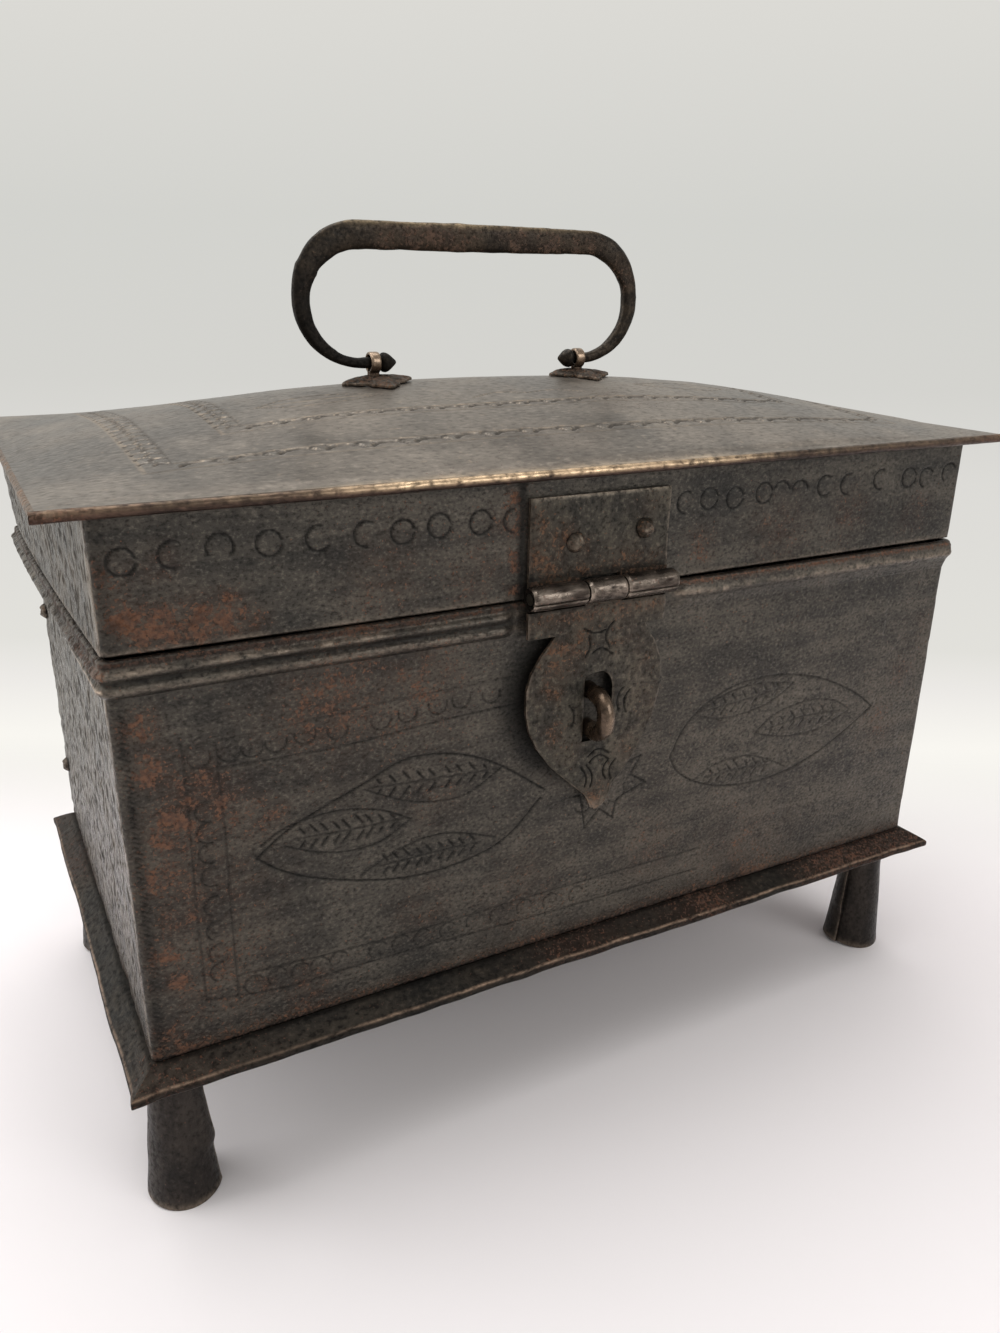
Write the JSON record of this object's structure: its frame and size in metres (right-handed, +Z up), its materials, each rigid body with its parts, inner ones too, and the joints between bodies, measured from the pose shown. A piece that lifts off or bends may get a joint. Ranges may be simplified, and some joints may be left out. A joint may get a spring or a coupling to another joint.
{
  "type": "iron strongbox",
  "caption": "Footed iron strongbox of folded, riveted sheet with a crowned hinged lid, hasp, staple and swinging carry handle",
  "frame": {"origin": "On the ground under the middle of the bounding box", "axes": "+X along the box's length, to its right seen from the front; the front faces -Y; +Z up"},
  "size_m": [0.302, 0.1748, 0.2655],
  "materials": {
    "wall_sheet": "dark worn patina",
    "lid_sheet": "brown satin patina",
    "strap": "dark patina with rust",
    "rivets": "rusty",
    "handle_bar": "hammered, worn",
    "worn_bar": "rubbed bright",
    "feet": "dark"
  },
  "bodies": {
    "box": {"body_wrapper": "wall_sheet", "body_back": "wall_sheet", "base_plate": "wall_sheet", "foot_front_left": "feet", "foot_front_right": "feet", "foot_back_left": "feet", "foot_back_right": "feet", "foot_rivet_front_left": "rivets", "foot_rivet_front_right": "rivets", "foot_rivet_back_left": "rivets", "foot_rivet_back_right": "rivets", "floor_rivet_1": "rivets", "floor_rivet_2": "rivets", "floor_rivet_3": "rivets", "floor_rivet_4": "rivets", "floor_rivet_5": "rivets", "floor_rivet_6": "rivets", "body_rivet_left_low": "rivets", "body_rivet_left_high": "rivets", "body_rivet_right_low": "rivets", "body_rivet_right_high": "rivets", "hinge_left_body_leaf": "strap", "hinge_left_pin": "rivets", "hinge_left_body_rivet_1": "rivets", "hinge_left_body_rivet_2": "rivets", "hinge_right_body_leaf": "strap", "hinge_right_pin": "rivets", "hinge_right_body_rivet_1": "rivets", "hinge_right_body_rivet_2": "rivets", "staple": "worn_bar", "staple_washer": "strap"},
    "lid": {"lid_wrapper": "wall_sheet", "lid_back": "wall_sheet", "lid_top": "lid_sheet", "lid_rivet_left": "rivets", "lid_rivet_right": "rivets", "hinge_left_lid_leaf": "strap", "hinge_left_lid_rivet_1": "rivets", "hinge_left_lid_rivet_2": "rivets", "hinge_right_lid_leaf": "strap", "hinge_right_lid_rivet_1": "rivets", "hinge_right_lid_rivet_2": "rivets", "hasp_plate": "strap", "hasp_rivet_1": "rivets", "hasp_rivet_2": "rivets", "hasp_pin": "rivets", "handle_eye_left": "worn_bar", "rosette_left": "strap", "handle_eye_right": "worn_bar", "rosette_right": "strap"},
    "hasp": {"hasp_leaf": "strap"},
    "handle": {"handle": "handle_bar"}
  },
  "joints": [
    {"name": "lid_hinge", "type": "hinge", "parent": "box", "child": "lid", "pos_m": [0, 0.0838, 0.1682], "axis": [-1, 0, 0], "range_deg": [0, 175]},
    {"name": "hasp_hinge", "type": "hinge", "parent": "lid", "child": "hasp", "pos_m": [-0.0065, -0.078, 0.1685], "axis": [-1, 0, 0], "range_deg": [0, 168]},
    {"name": "handle_swing", "type": "hinge", "parent": "lid", "child": "handle", "pos_m": [-0.0045, 0.0029, 0.22459], "axis": [1, 0, 0], "range_deg": [-101, 101]}
  ]
}
